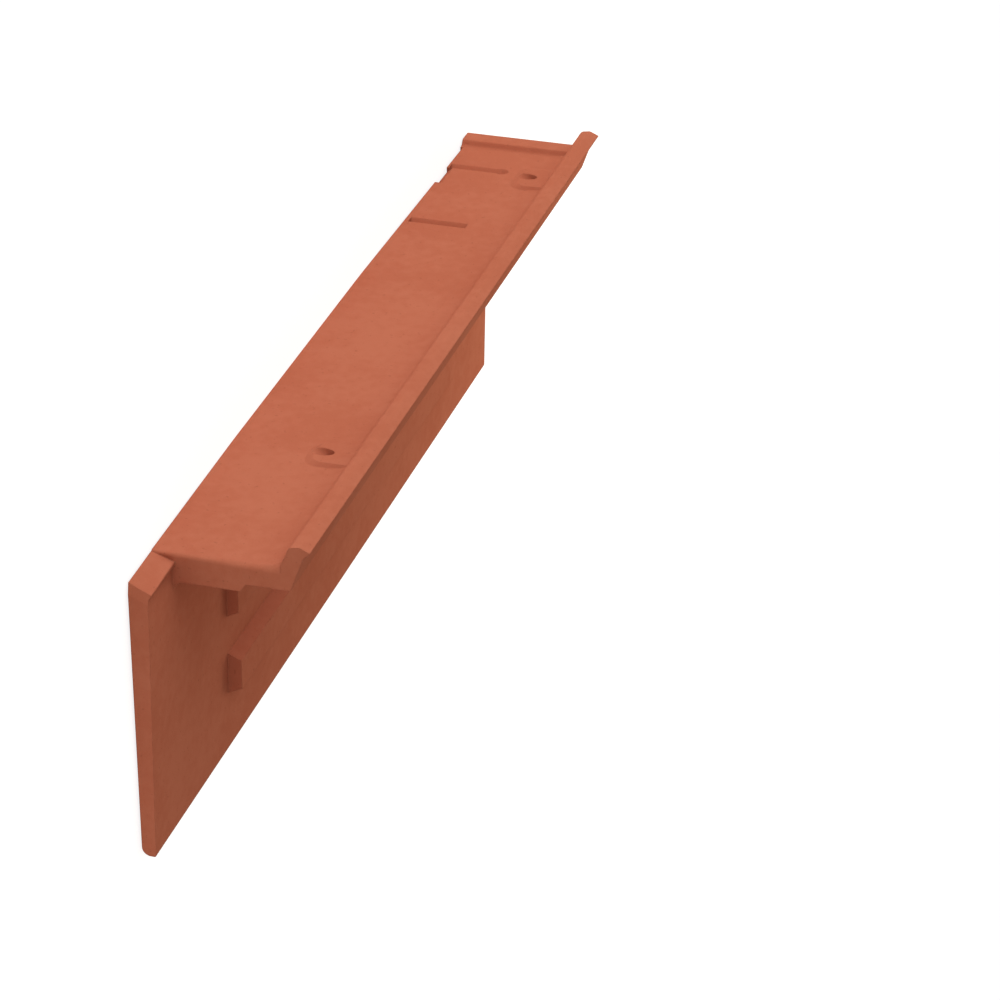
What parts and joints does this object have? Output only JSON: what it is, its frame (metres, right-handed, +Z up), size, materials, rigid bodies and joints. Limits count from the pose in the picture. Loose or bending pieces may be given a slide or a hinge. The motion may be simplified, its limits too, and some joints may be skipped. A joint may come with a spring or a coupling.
{
  "type": "verge tile",
  "caption": "Angled clay verge tile for a roof's edge: nailed flange with an upstand water rib, and a deep skirt that covers the gable end.",
  "frame": {"origin": "centre of the box's foot, on the floor under the skirt's outer face", "axes": "+X along the tile from its foot to its head, +Y out of the flange's weather face, +Z up from the floor, which is across the flange from the skirt to the rib"},
  "size_m": [0.484, 0.1447, 0.0707],
  "materials": {
    "fired_clay": "matte, fine-grained fired clay"
  },
  "bodies": {
    "root": {"verge_tile": "fired_clay"}
  },
  "joints": []
}
